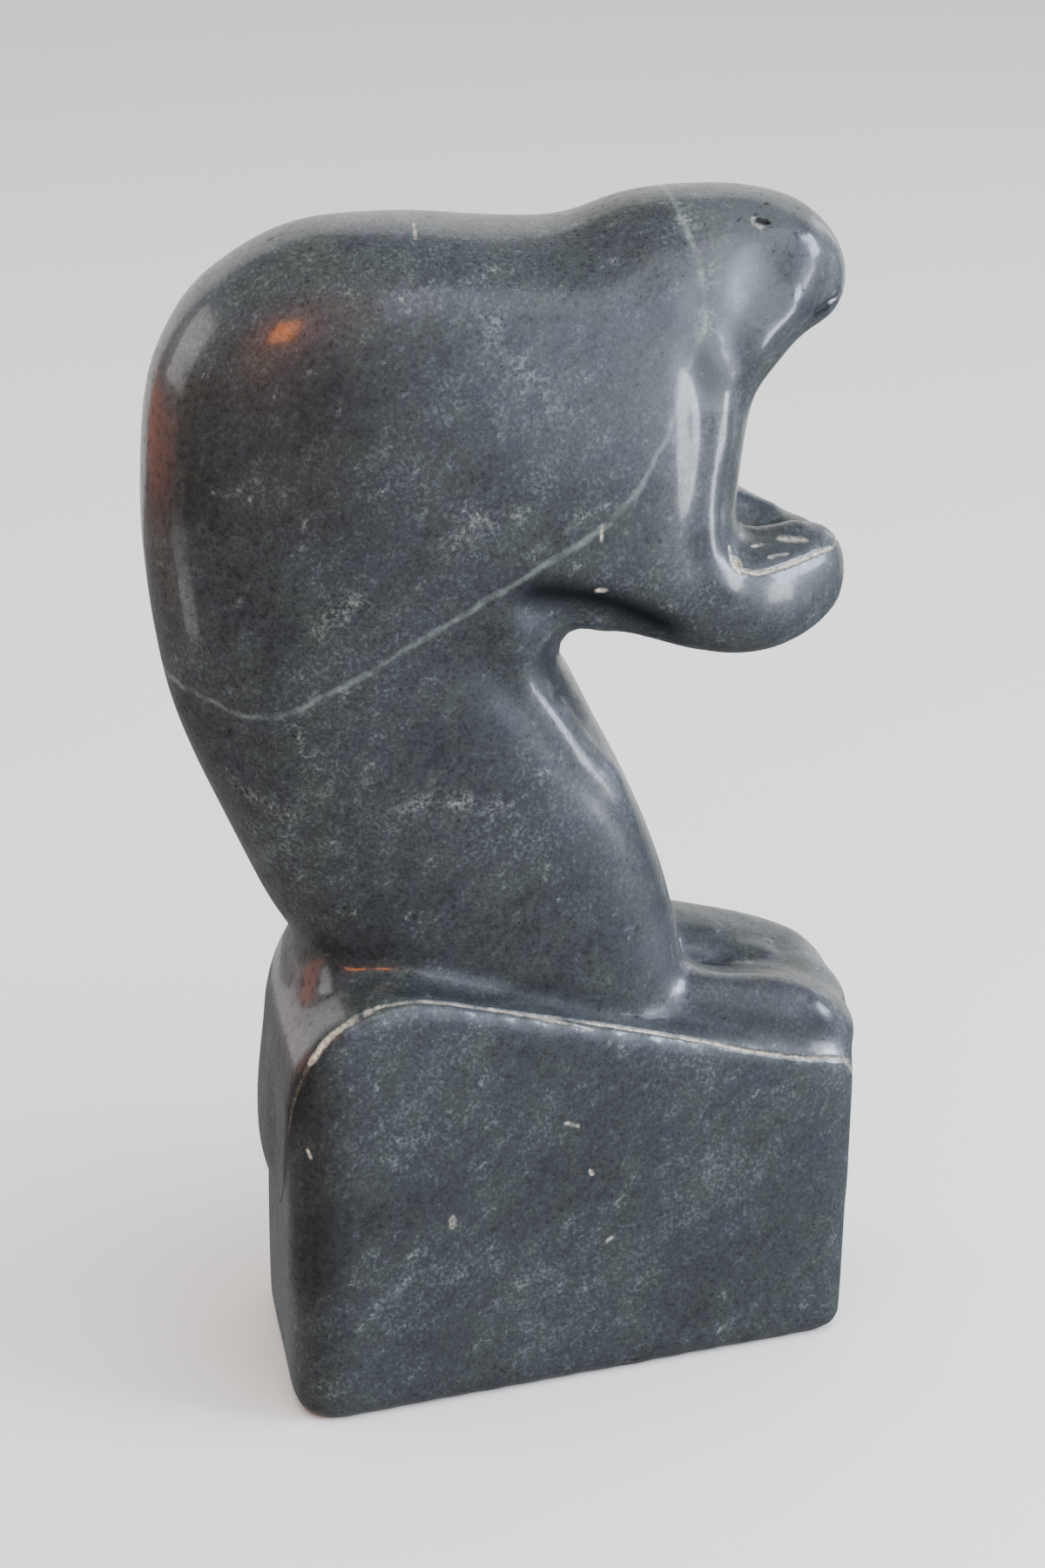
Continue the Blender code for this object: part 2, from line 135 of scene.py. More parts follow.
# Scratches and chips
MARKS = {
    "back scratch": (0.2, 0.05, 0.7, [(-19, -5, 196.5), (-19.5, -11, 195.5)]),
    "arm scratch": (0.18, 0.05, 0.8, [(7.5, -24.5, 152), (7.5, -24.5, 149)]),
    "arm chip": (0.45, 0.25, 1.0, [(7, -23.5, 140.5), (8.5, -23.5, 140)]),
    "paw scratch": (0.3, 0.1, 0.6, [(34, -15, 144), (36.5, -14, 144.5)]),
    "paw chip": (0.6, 0.1, 0.45, [(39, -12, 144), (44, -11.5, 143.5)]),
    "paw score": (0.3, 0.1, 0.5, [(36.5, -16.5, 142.5), (40, -15, 142.5)]),
    "rock mark 1": (0.25, 0.1, 0.8, [(1.5, -27, 49.5), (4, -26.5, 48.5)]),
    "rock mark 2": (0.3, 0.1, 0.8, [(6, -26.5, 40), (6.5, -26.5, 39)]),
    "rock mark 3": (0.6, 0.02, 0.35, [(-18, -30.5, 35.5), (-18, -30.5, 33.5)]),
    "rock mark 4": (0.25, 0.1, 0.7, [(9, -26, 26), (10, -25.5, 26.5)]),
    "rock mark 5": (0.25, 0.1, 0.8, [(-42, -32, 51), (-41.5, -32.5, 49.5)]),
}
# Cloudy patches: half width, strength and points. Wisps are pale; the warm patches are a brown
# tint painted on the back and the rear of the rock as a painted warm reflection, with more dark pits
WISPS = {
    "shoulder": (1.5, 0.9, [(-28.5, -24.5, 141), (-34.5, -24, 139.5), (-38, -23.5, 135)]),
    "arm": (1.3, 0.6, [(-4, -25, 154), (-11, -25, 153.5), (-19, -25, 148)]),
    "second vein": (0.5, 0.7, [(-5, -25, 147), (3, -24.5, 152), (8.5, -24, 155.5)]),
    "flank": (1.2, 0.8, [(-26, -22.5, 104.5), (-19, -23, 107.5), (-16, -23, 106.5),
                         (-5, -22.5, 104.5)]),
    "rear": (1.0, 0.8, [(-51.5, -14, 110), (-46.5, -17, 106), (-41, -19.5, 104)]),
    "head": (1.6, 0.7, [(22, -6, 199), (25, -13, 195), (26, -17, 187), (24, -19, 178)]),
    "upper arm": (2.5, 0.6, [(-12, -22, 187), (-6, -24, 178), (0, -25, 170)]),
}
PAINTED_WARM_PATCHES = {
    "back": (16, 0.9, [(-58, -8, 180), (-59, -9, 165), (-57, -10, 150)]),
    "upper back": (15, 0.6, [(-45, -18, 180), (-38, -23, 165), (-42, -23, 150)]),
    "rock rear": (8, 0.9, [(-42, -31, 70), (-42, -31, 45), (-42, -31, 20)]),
    "seat": (8, 0.6, [(-52, -18, 80), (-52, -20, 60)]),
}
# Painted shade: darker and duller places where shade falls, in recesses and under the arm, and on
# the foot side, the lower belly and the rock's face, which the lamps light too brightly
PAINTED_SHADES = {
    "under arm": (3.3, 1.0, [(-8, -24.5, 142), (0, -24, 140.5), (7.5, -22.5, 138), (15, -20.5, 134.5),
                              (23, -20, 131)]),
    "armpit": (2.6, 0.6, [(-1, -20, 132), (0, -17, 127), (3, -15, 121.5), (7, -15, 114)]),
    "above groove": (2.2, 0.65, [(-31, -27, 80), (-24, -27, 79), (-14, -26, 76.5), (0, -24, 71.5),
                                 (18, -21, 65), (33, -19, 59.5), (45, -17.5, 56.5)]),
    "foot side": (5.0, 0.6, [(22, -17, 65), (30, -17, 62.5), (38, -16.5, 60.5), (50, -16, 57)]),
    "seat": (2.5, 0.7, [(-37, -31, 76), (-42, -33, 68), (-45, -28, 52), (-46, -20, 38)]),
    "muzzle": (1.3, 0.9, [(44.5, -11, 180.5), (47.5, -8.5, 182)]),
    "belly": (6.0, 0.45, [(9, -18, 104), (13.5, -17, 95), (17, -15.5, 87), (19, -14, 79)]),
    "rock face": (26, 0.2, [(-60, -32, 36), (-30, -31, 36), (10, -26, 32), (60, -14, 28)]),
    "seat top": (3.5, 0.5, [(-35, -20, 80), (-34, -12, 78)]),
}
# Painted sheen: paler places on both sides of the bear, on the cheek, the brow and the neck,
# where the polish would catch the light
PAINTED_SHEENS = {
    "cheek": (9, 0.8, [(22, -18, 190), (27, -17, 187.5), (32, -15.5, 188), (37, -12.5, 190.5)]),
    "brow": (8, 0.5, [(22, -14, 196), (28, -13, 196.5), (36, -9, 197), (42, -8, 194)]),
    "neck": (4, 1.0, [(23, -18.5, 182), (24.5, -18.5, 177), (26.5, -18.5, 171), (27, -18.5, 167)]),
}
# The vein is a thin sheet folded over these planes: a point (x, z) and the angle that its
# outward direction makes with the x axis
VEIN_FOLDS = [((-22, 134), -60), ((19.5, 169), -25), ((24, 193), 15.5), ((-51, 122.5), -105)]
# How softly the vein bends from plane to plane, how far it strays and over what length
VEIN_BEND = 7 * MM
VEIN_STRAY = 4 * MM
VEIN_STRAY_SIZE = 12 * MM
# The vein is full within the first distance of its sheet and gone past the second
VEIN_CORE = 0.15 * MM
VEIN_EDGE = 0.75 * MM

# Sizes of the patterns in the stone
CLOUD_SIZE = 20 * MM
HUE_SIZE = 9 * MM
MOTTLE_SIZE = 3.2 * MM
PIT_SIZE = 1.4 * MM
# The speckle is drawn a little coarser than the real grain, so that it shows
SPECKLE_SIZE = 0.7 * MM
SPECKLE_HEIGHT = 0.05 * MM
# The clouds lie in slanting layers: degrees, and stretch along each axis
LAYER_SLANT = 40
LAYER_STRETCH = (1.5, 1.2, 0.9)
STONE_IOR = 1.54
WAX_ROUGHNESS = 0.13

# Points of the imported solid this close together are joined
SEAM = 0.01 * MM
# Length of the waves that filing leaves
WAVE_SIZE = 14 * MM
# Share of a hollow's half width that slopes; the rest is its flat floor
FLANK = 0.7
# Share of a hollow's length over which each end runs out
HOLLOW_END = 0.3
# How far each round of polishing moves a point towards its neighbours
POLISH_FACTOR = 0.5
# How near a crest the faces are split, and how many rounds polish the crests
CREST_REACH = 1.8 * MM
CREST_ROUNDS = 5
# How near a cut the faces are split, in the first round and the second, and how far each round
# moves a point towards its neighbours
CUT_REACHES = (2.0 * MM, 1.2 * MM)
CUT_SMOOTHING = 0.25
# A cut's edges waver over the shorter length, and its powder thins out over both
WAVER_SIZE = 1.6 * MM
DUST_SIZE = 6 * MM
WAVER = 0.35
# Share of a cut's width that is left at its ends
CUT_END = 0.55
# Powder reaches this many half widths from the middle of a cut
DUST_REACH = 1.5
# Height of the worn edge under the rock, and how much is trimmed off to level its underside
FOOT_EDGE = 3.5 * MM
FOOT_TRIM = 0.3 * MM
# Points this close to the trimming plane count as on it
TRIM_GAP = 1e-6

# Soft lamps round the carving: degrees round from its right side to its front, degrees up,
# distance, width and height in metres, power in watts and colour
LAMPS = {
    "key": (73, 20, 1.1, 0.62, 0.48, 21, "#DCE8FF"),
    "low glare": (60, 4, 0.32, 0.1, 0.11, 0.6, "#EEF3FF"),
    "broad side": (34, 9, 1.5, 1.3, 1.0, 6.5, "#D8E6FF"),
    "front rim": (132, 16, 1.3, 0.25, 0.35, 0.9, "#E6EEFF"),
    "high side": (15, 42, 1.6, 1.1, 0.7, 4.5, "#E8F0FF"),
    "far fill": (165, 12, 1.8, 4.0, 2.1, 26, "#F4F2F0"),
    "rear rim": (-108, 22, 1.2, 0.7, 0.55, 4.2, "#F4F2F0"),
    "rear glare": (-88, -16, 1.1, 0.3, 0.15, 0.35, "#F4F2F0"),
    "warm spot": (-38, 33, 1.5, 0.24, 0.3, 4.4, "#FF8A30"),
    "warm strip": (-118, -4, 1.1, 1.1, 0.26, 1.5, "#C86040"),
}
OVERHEAD = (20, 78, 1.8, 2.6, 2.6, 95, "#FFFFFF")
LAMP_TARGET = Vector((0, 0, 0.1))
# Even light from all round
AIR_COLOUR = "#C8CACC"
AIR_STRENGTH = 0.4
# The floor lies this far below the rock
FLOOR_GAP = 0.05 * MM
FLOOR_COLOUR = "#D9D7D3"

# The camera's angles are measured as the lamps' are. Its lens and sensor are in millimetres
CAMERA_TARGET = Vector((-1.2, -2, 100.5)) * MM
CAMERA_AZIMUTH = -10
CAMERA_ELEVATION = 21
CAMERA_DISTANCE = 0.588
CAMERA_LENS = 50
CAMERA_SENSOR = 22.3
CAMERA_CLIP = 0.01


class StoneSizes(bpy.types.PropertyGroup):
    """Sizes of the fine carving."""

    grain: FloatProperty(
        name="Working grain", description="How finely the stone's surface is worked",
        default=1.1 * MM, min=0.6 * MM, max=3 * MM, subtype="DISTANCE", unit="LENGTH")
    polish: IntProperty(
        name="Polishing rounds", description="Rounds of smoothing before the lines are cut",
        default=5, min=0, max=60)
    waviness: FloatProperty(
        name="Hand waviness", description="How far hand filing leaves the polished faces uneven",
        default=0.1 * MM, min=0, max=1 * MM, subtype="DISTANCE", unit="LENGTH")
    form_depth: FloatProperty(
        name="Depth of forms", description="Strength of the ridges and hollows", default=1.0,
        min=0, max=2)
    cut_depth: FloatProperty(
        name="Depth of cuts", description="Strength of the cut lines", default=1.0, min=0, max=2)
    foot_wear: FloatProperty(
        name="Worn foot edge", description="How far the edge that the rock stands on is worn in",
        default=0.9 * MM, min=0, max=3 * MM, subtype="DISTANCE", unit="LENGTH")


class StoneColours(bpy.types.PropertyGroup):
    """Colours of the stone."""

    dark: StringProperty(name="Dark", description="The darker clouds", default="#181B1E")
    blue: StringProperty(name="Slate blue", description="The bluish body colour", default="#2D3137")
    green: StringProperty(name="Grey green", description="The greenish body colour", default="#303634")
    # Also the colour of the painted sheen
    pale: StringProperty(name="Pale", description="The paler clouds", default="#565F60")
    fleck: StringProperty(name="Fleck", description="The fine pale flecks", default="#7F8681")
    # Also the colour of the painted shade
    pit_and_shade: StringProperty(name="Pit", description="The small dark pits", default="#14171A")
    vein: StringProperty(name="Vein", description="The thin mineral vein", default="#79857F")
    # Tint of the painted warm reflection on the back and the rear of the rock
    warm_reflection_tint: StringProperty(name="Rust", description="The brown stain's tint", default="#D6C6BA")
    powder: StringProperty(name="Powder", description="Cut stone left unpolished", default="#C6BFAC")
    # Colour of the painted shade inside the eye and mouth cuts
    painted_cut_shade: StringProperty(name="Dirt", description="Dirt in the deepest cuts", default="#1D1A17")


class StageSizes(bpy.types.PropertyGroup):
    """Sizes of the floor and the strength of the light."""

    floor_radius: FloatProperty(
        name="Floor radius", description="Radius of the plain floor",
        default=4.0, min=0.5, max=10, subtype="DISTANCE", unit="LENGTH")
    light: FloatProperty(
        name="Light", description="Strength of all the lamps together", default=1.0, min=0, max=5)


def linear(colour):
    """A hex colour as it is picked on screen, turned to the light values that nodes take."""
    channels = [int(colour[i:i + 2], 16) / 255 for i in (1, 3, 5)]
    return tuple(c / 12.92 if c <= 0.04045 else ((c + 0.055) / 1.055) ** 2.4 for c in channels) + (1,)


def add_node(tree, kind, *inputs, output=None, **settings):
    """Adds a node, fills its inputs in order with values or outputs and returns its output."""
    node = tree.nodes.new(kind)
    for name, value in settings.items():
        setattr(node, name, value)
    for socket, value in zip([s for s in node.inputs if s.enabled], inputs):
        if isinstance(value, bpy.types.NodeSocket):
            tree.links.new(value, socket)
        elif value is not None:
            socket.default_value = value
    return node.outputs[output] if output else next(s for s in node.outputs if s.enabled)


def evaluated_mesh(obj):
    """The object's mesh with its modifiers worked in."""
    bpy.context.view_layer.update()
    graph = bpy.context.evaluated_depsgraph_get()
    return bpy.data.meshes.new_from_object(obj.evaluated_get(graph), depsgraph=graph)


def smooth_line(points, steps=8):
    """A curve through the points, which are in millimetres, as an array in metres."""
    ends = [points[0], *points, points[-1]]
    line = []
    for a, b, c, d in zip(ends, ends[1:], ends[2:], ends[3:]):
        a, b, c, d = (np.array(p) * MM for p in (a, b, c, d))
        for step in range(steps):
            t = step / steps
            line.append(0.5 * (2 * b + (c - a) * t + (2 * a - 5 * b + 4 * c - d) * t**2
                               + (3 * b - a - 3 * c + d) * t**3))
    line.append(np.array(points[-1]) * MM)
    return np.array(line)


def laid_on(surface, points, rounds=3):
    """A curve through the points, laid on the nearest surface and its kinks evened out."""
    line = np.array([surface.find_nearest(Vector(p))[0] for p in smooth_line(points)])
    for _ in range(rounds):
        line[1:-1] = (line[:-2] + 2 * line[1:-1] + line[2:]) / 4
    return line


def near_line(points, line):
    """For each point, how far the line is and how far along it (0 to 1) it comes nearest."""
    gap = np.full(len(points), 1.0)
    share = np.zeros(len(points))
    for i, (a, b) in enumerate(zip(line, line[1:])):
        run = b - a
        along = np.clip((points - a) @ run / (run @ run), 0, 1)
        here = np.linalg.norm(points - a - along[:, None] * run, axis=1)
        nearer = here < gap
        gap[nearer] = here[nearer]
        share[nearer] = (i + along[nearer]) / (len(line) - 1)
    return gap, share


def coordinates(bm):
    """The place of each vertex, as an array."""
    return np.array([v.co for v in bm.verts])


def worked_stone(node, sizes):
    """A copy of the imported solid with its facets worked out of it."""
    mesh = node.data.copy()
    bm = bmesh.new()
    bm.from_mesh(mesh)
    bmesh.ops.remove_doubles(bm, verts=bm.verts, dist=SEAM)
    bm.to_mesh(mesh)
    bm.free()
    rough = bpy.data.objects.new("rough_stone", mesh)
    bpy.context.scene.collection.objects.link(rough)
    subdivide = rough.modifiers.new("Round", "SUBSURF")
    subdivide.levels = subdivide.render_levels = 1
    remesh = rough.modifiers.new("Work", "REMESH")
    remesh.mode = "VOXEL"
    remesh.voxel_size = sizes.grain
    smooth = rough.modifiers.new("Polish", "SMOOTH")
    smooth.factor = POLISH_FACTOR
    smooth.iterations = sizes.polish
    stone = evaluated_mesh(rough)
    bpy.data.objects.remove(rough)
    return stone


def refine(bm, lines, reach):
    """Splits the faces near the lines once, so that they can be cut crisply."""
    points = coordinates(bm)
    gap = np.min([near_line(points, line)[0] for line in lines], axis=0)
    close = gap < reach
    edges = [e for e in bm.edges if close[e.verts[0].index] and close[e.verts[1].index]]
    bmesh.ops.subdivide_edges(bm, edges=edges, cuts=1, use_grid_fill=True)
    bm.verts.index_update()


def ruffle(points, size, seed=0.0):
    """Soft noise at each point, from -1 to 1, whose waves are about the given size."""
    shift = Vector((seed, seed, seed))
    return np.array([noise.noise(Vector(p) / size + shift) for p in points])


def mirrored(strokes):
    """The strokes and their mirror images on the other side of the bear."""
    both = dict(strokes)
    for name, (*sizes, points) in strokes.items():
        both["left " + name] = (*sizes, [(x, -y, z) for x, y, z in points])
    return both


def faded_ends(share, length=0.2):
    """1 along a stroke and falling to 0 at its ends."""
    return np.sin(np.clip(np.minimum(share, 1 - share) / length, 0, 1) * math.pi / 2)


def shift(bm, lift):
    """Moves each vertex along its normal."""
    bm.normal_update()
    for vert, height in zip(bm.verts, lift):
        vert.co += vert.normal * height


def smooth_out(bm, factor, rounds=1):
    """Moves each vertex towards its neighbours by the factor, as many times as asked."""
    for _ in range(rounds):
        bmesh.ops.smooth_vert(bm, verts=bm.verts, factor=factor, use_axis_x=True,
                              use_axis_y=True, use_axis_z=True)


def work_forms(bm, sizes):
    """Draws the ridges up to crests and works the hollows between them down."""
    surface = BVHTree.FromBMesh(bm)
    ridges = {**mirrored(RIDGES), **FOOT_RIDGES}
    hollows = {**mirrored(HOLLOWS), **FOOT_HOLLOWS}
    crests = [laid_on(surface, points) for _, _, points in ridges.values()]
    refine(bm, crests, CREST_REACH)
    points = coordinates(bm)
    lift = sizes.waviness * ruffle(points, WAVE_SIZE)
    for (rise, reach, _), line in zip(ridges.values(), crests):
        gap, share = near_line(points, line)
        gap = np.clip(gap / (reach * MM), 0, 1)
        lift += rise * MM * faded_ends(share) * (1 - gap**2)
    for depth, reach, line in hollows.values():
        gap, share = near_line(points, laid_on(surface, line))
        bowl = np.clip((1 - gap / (reach * MM)) / FLANK, 0, 1)
        lift -= depth * MM * faded_ends(share, HOLLOW_END) * bowl
    shift(bm, lift * sizes.form_depth)
    smooth_out(bm, POLISH_FACTOR, CREST_ROUNDS)


def cut_lines(bm, sizes):
    """Cuts the scored lines, the face and the small marks; gives powder and painted shade at each
    vertex.
    """
    surface = BVHTree.FromBMesh(bm)
    cuts = {**CUTS, **mirrored(FACE_CUTS), **MARKS}
    lines = [laid_on(surface, points) for *_, points in cuts.values()]
    for reach in CUT_REACHES:
        refine(bm, lines, reach)
        smooth_out(bm, CUT_SMOOTHING)
    points = coordinates(bm)
    rough = ruffle(points, WAVER_SIZE, seed=5)
    uneven = ruffle(points, DUST_SIZE, seed=9)
    lift = np.zeros(len(points))
    powder = np.zeros(len(points))
    painted_cut_shade = np.zeros(len(points))
    for (half, depth, pale, _), line in zip(cuts.values(), lines):
        gap, share = near_line(points, line)
        half = half * MM * (1 + WAVER * rough) * (CUT_END + (1 - CUT_END) * faded_ends(share))
        inside = np.clip(1 - gap / half, 0, 1)
        lift = np.minimum(lift, -depth * MM * inside ** 0.8)
        dust = pale * np.clip(DUST_REACH - gap / half, 0, 1) * np.clip(1 + uneven + 0.6 * rough, 0, 1)
        powder = np.maximum(powder, dust)
        # A cut with no powder is painted dark inside, as painted shade
        if pale == 0:
            painted_cut_shade = np.maximum(painted_cut_shade, inside)
    shift(bm, lift * sizes.cut_depth)
    return powder, painted_cut_shade


def wear_foot(bm, sizes):
    """Rounds the edge that the rock stands on and levels its underside."""
    bm.normal_update()
    for vert in bm.verts:
        near = 1 - vert.co.z / FOOT_EDGE
        if near > 0:
            vert.co.xy -= vert.normal.xy * sizes.foot_wear * near**2
    cut = bmesh.ops.bisect_plane(bm, geom=bm.verts[:] + bm.edges[:] + bm.faces[:], dist=TRIM_GAP,
                                 plane_co=(0, 0, FOOT_TRIM), plane_no=(0, 0, 1), clear_inner=True)
    rim = [g for g in cut["geom_cut"] if isinstance(g, bmesh.types.BMEdge)]
    base = bmesh.ops.contextual_create(bm, geom=rim)["faces"]
    low = {v for face in base for v in face.verts}
    bmesh.ops.translate(bm, vec=(0, 0, -FOOT_TRIM), verts=list(low))


def clouded(points, strokes, surface):
    """How strongly the patches along the strokes show at each point."""
    strength = np.zeros(len(points))
    for half, most, line in strokes.values():
        gap, share = near_line(points, laid_on(surface, line))
        strength = np.maximum(strength, most * np.exp(-(gap / (half * MM)) ** 2) * faded_ends(share))
    return strength


class SOAPSTONE_OT_carving(bpy.types.Operator):
    """Work the fine relief into the stone and give it its polish"""

    bl_idname = "soapstone.carving"
    bl_label = "Carve the bear"

    def execute(self, context):
        sizes = context.scene.stone_sizes
        mesh = worked_stone(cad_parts[NODE], sizes)
        bm = bmesh.new()
        bm.from_mesh(mesh)
        work_forms(bm, sizes)
        wear_foot(bm, sizes)
        layers = dict(zip(("powder", "painted_cut_shade"), cut_lines(bm, sizes)))
        patches = {"wisp": WISPS, "painted_warmth": PAINTED_WARM_PATCHES, "painted_shade": PAINTED_SHADES, "painted_sheen": mirrored(PAINTED_SHEENS)}
        points = coordinates(bm)
        surface = BVHTree.FromBMesh(bm)
        for name, strokes in patches.items():
            layers[name] = clouded(points, strokes, surface)
        bmesh.ops.triangulate(bm, faces=[f for f in bm.faces if len(f.verts) > 4])
        bm.to_mesh(mesh)
        bm.free()
        for name, values in layers.items():
            layer = mesh.attributes.new(name, "FLOAT", "POINT")
            layer.data.foreach_set("value", values.astype(np.float32))
        mesh.name = "carved_bear"
        mesh.shade_smooth()
        mesh.materials.clear()
        mesh.materials.append(polished_soapstone(context.scene.stone_colours))
        bear = bpy.data.objects.new("carved_bear", mesh)
        context.scene.collection.objects.link(bear)
        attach(bear, "root")
        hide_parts(NODE)
        return {"FINISHED"}


def polished_soapstone(colours):
    """Soapstone, filed, sanded and waxed by hand.

    The stone is dark and finely speckled, clouded blue and green in slanting layers. The polish
    gives it a soft gloss, and the cuts are left pale and dry. Painted shade, a painted sheen and a
    painted warm reflection are laid into the colour in places.
    """
    material = bpy.data.materials.new("polished_soapstone")
    material.use_nodes = True
    tree = material.node_tree
    shader = tree.nodes["Principled BSDF"]
    shader.inputs["IOR"].default_value = STONE_IOR
    shader.inputs["Coat Roughness"].default_value = WAX_ROUGHNESS
    place = add_node(tree, "ShaderNodeTexCoord", output="Object")
    powder, painted_cut_shade, wisp, painted_warmth, painted_shade, painted_sheen = (
        add_node(tree, "ShaderNodeAttribute", attribute_name=name, output="Fac")
        for name in ("powder", "painted_cut_shade", "wisp", "painted_warmth", "painted_shade", "painted_sheen"))
    slanted = add_node(tree, "ShaderNodeMapping", place, None, (0, math.radians(-LAYER_SLANT), 0),
                       LAYER_STRETCH, vector_type="TEXTURE")
    # Noise takes its place, scale, detail, roughness, lacunarity and distortion
    cloud = add_node(tree, "ShaderNodeTexNoise", slanted, 1 / CLOUD_SIZE, 4.0, 0.55, 2.0, 0.3)
    hue = add_node(tree, "ShaderNodeTexNoise", place, 1 / HUE_SIZE, 8.0, 0.8)
    mottle = add_node(tree, "ShaderNodeTexNoise", slanted, 1 / MOTTLE_SIZE, 5.0, 0.7)
    speckle = add_node(tree, "ShaderNodeTexNoise", place, 1 / SPECKLE_SIZE, 2.0, 0.75)
    pits = add_node(tree, "ShaderNodeTexNoise", place, 1 / PIT_SIZE, 3.0, 0.7)

    # Clouds, mottle and speckle together make the stone darker or paler
    blue = add_node(tree, "ShaderNodeMapRange", hue, 0.43, 0.57)
    tone = add_node(tree, "ShaderNodeMath", mottle, 1.1, cloud, operation="MULTIPLY_ADD")
    tone = add_node(tree, "ShaderNodeMath", speckle, 2.0, tone, operation="MULTIPLY_ADD")
    deep = add_node(tree, "ShaderNodeMapRange", tone, 2.07, 1.55, 0, 1)
    light = add_node(tree, "ShaderNodeMapRange", tone, 2.16, 2.8, 0, 1)
    # The painted sheen makes the cheek, the brow and the neck paler
    painted_sheen_share = add_node(tree, "ShaderNodeMath", painted_sheen, 0.55, operation="MULTIPLY")
    flecks = pale_flecks(tree, mottle, speckle, wisp)
    pitted = dark_pits(tree, pits, cloud, painted_warmth, painted_sheen)
    vein = mineral_vein(tree, place, mottle)
    crumbs = add_node(tree, "ShaderNodeMapRange", speckle, 0.35, 0.6, 0.35, 1)
    powder = add_node(tree, "ShaderNodeMath", powder, crumbs, operation="MULTIPLY")

    # Each colour is laid over the ones before it. The sheen, the warm tint, the shade and the dark
    # in the eye and mouth cuts are painted light and shade
    body = add_node(tree, "ShaderNodeMix", blue, linear(colours.green), linear(colours.blue),
                    data_type="RGBA")
    for amount, colour, blend in (
            (deep, colours.dark, "MIX"), (light, colours.pale, "MIX"),
            (painted_sheen_share, colours.pale, "MIX"), (painted_warmth, colours.warm_reflection_tint, "MULTIPLY"),
            (flecks, colours.fleck, "MIX"), (pitted, colours.pit_and_shade, "MIX"),
            (painted_shade, colours.pit_and_shade, "MIX"), (vein, colours.vein, "MIX"),
            (powder, colours.powder, "MIX"), (painted_cut_shade, colours.painted_cut_shade, "MIX")):
        body = add_node(tree, "ShaderNodeMix", amount, body, linear(colour), data_type="RGBA",
                        blend_type=blend)
    tree.links.new(body, shader.inputs["Base Color"])

    # The paler stone takes the better polish; powder, pits and the painted shade are dull
    dull = add_node(tree, "ShaderNodeMapRange", tone, 1.8, 2.3, 0.44, 0.34)
    for amount, roughness in ((powder, 0.4), (pitted, 0.3), (painted_shade, 0.3)):
        dull = add_node(tree, "ShaderNodeMath", amount, roughness, dull, operation="MULTIPLY_ADD")
    tree.links.new(dull, shader.inputs["Roughness"])
    # The painted shade also loses its specular reflection and coat, so that it stays dark
    waxed = add_node(tree, "ShaderNodeMapRange", painted_shade, 0, 1, 0.5, 0)
    tree.links.new(waxed, shader.inputs["Specular IOR Level"])
    waxed = add_node(tree, "ShaderNodeMath", painted_sheen, 0.4, waxed, operation="MULTIPLY_ADD")
    tree.links.new(waxed, shader.inputs["Coat Weight"])
    height = add_node(tree, "ShaderNodeMath", pitted, -0.7, speckle, operation="MULTIPLY_ADD")
    bump = add_node(tree, "ShaderNodeBump", 0.3, SPECKLE_HEIGHT)
    tree.links.new(height, bump.node.inputs["Height"])
    tree.links.new(bump, shader.inputs["Normal"])
    return material


def pale_flecks(tree, mottle, speckle, wisp):
    """Fine pale flecks, scattered thinly and gathered in the wisps."""
    streaks = add_node(tree, "ShaderNodeMapRange", mottle, 0.42, 0.66, 0, 1)
    streaks = add_node(tree, "ShaderNodeMath", streaks, wisp, operation="MULTIPLY")
    flecks = add_node(tree, "ShaderNodeMapRange", mottle, 0.62, 0.72, 0, 0.6)
    flecks = add_node(tree, "ShaderNodeMath", flecks, streaks, operation="MAXIMUM")
    grit = add_node(tree, "ShaderNodeMapRange", speckle, 0.4, 0.6, 0, 1)
    return add_node(tree, "ShaderNodeMath", flecks, grit, operation="MULTIPLY")


def dark_pits(tree, pits, cloud, painted_warmth, painted_sheen):
    """Small dark pits, more of them under the painted warm tint and fewer in the pale clouds and the
    painted sheen.
    """
    depth = pits
    for amount, share in ((cloud, -0.4), (painted_warmth, 0.08), (painted_sheen, -0.1)):
        depth = add_node(tree, "ShaderNodeMath", amount, share, depth, operation="MULTIPLY_ADD")
    return add_node(tree, "ShaderNodeMapRange", depth, 0.425, 0.49, 0, 1)


def mineral_vein(tree, place, mottle):
    """How strongly the thin vein shows, which the mottle breaks up."""
    sheet = vein_sheet(tree, place)
    vein = add_node(tree, "ShaderNodeMapRange", sheet, VEIN_CORE, VEIN_EDGE, 1, 0)
    patchy = add_node(tree, "ShaderNodeMapRange", mottle, 0.38, 0.6, 0.1, 0.43)
    return add_node(tree, "ShaderNodeMath", vein, patchy, operation="MULTIPLY")


def vein_sheet(tree, place):
    """Distance from the sheet of mineral, which is folded over several planes and ragged."""
    outside = None
    for (x, z), angle in VEIN_FOLDS:
        out_x, out_z = math.cos(math.radians(angle)), math.sin(math.radians(angle))
        side = add_node(tree, "ShaderNodeVectorMath", place, (out_x, 0, out_z),
                        operation="DOT_PRODUCT", output="Value")
        side = add_node(tree, "ShaderNodeMath", side, (x * out_x + z * out_z) * MM,
                        operation="SUBTRACT")
        outside = side if outside is None else add_node(
            tree, "ShaderNodeMath", outside, side, VEIN_BEND, operation="SMOOTH_MAX")
    ragged = add_node(tree, "ShaderNodeTexNoise", place, 1 / VEIN_STRAY_SIZE, 7.0, 0.7)
    ragged = add_node(tree, "ShaderNodeMath", ragged, 0.5, operation="SUBTRACT")
    outside = add_node(tree, "ShaderNodeMath", ragged, VEIN_STRAY, outside, operation="MULTIPLY_ADD")
    return add_node(tree, "ShaderNodeMath", outside, operation="ABSOLUTE")


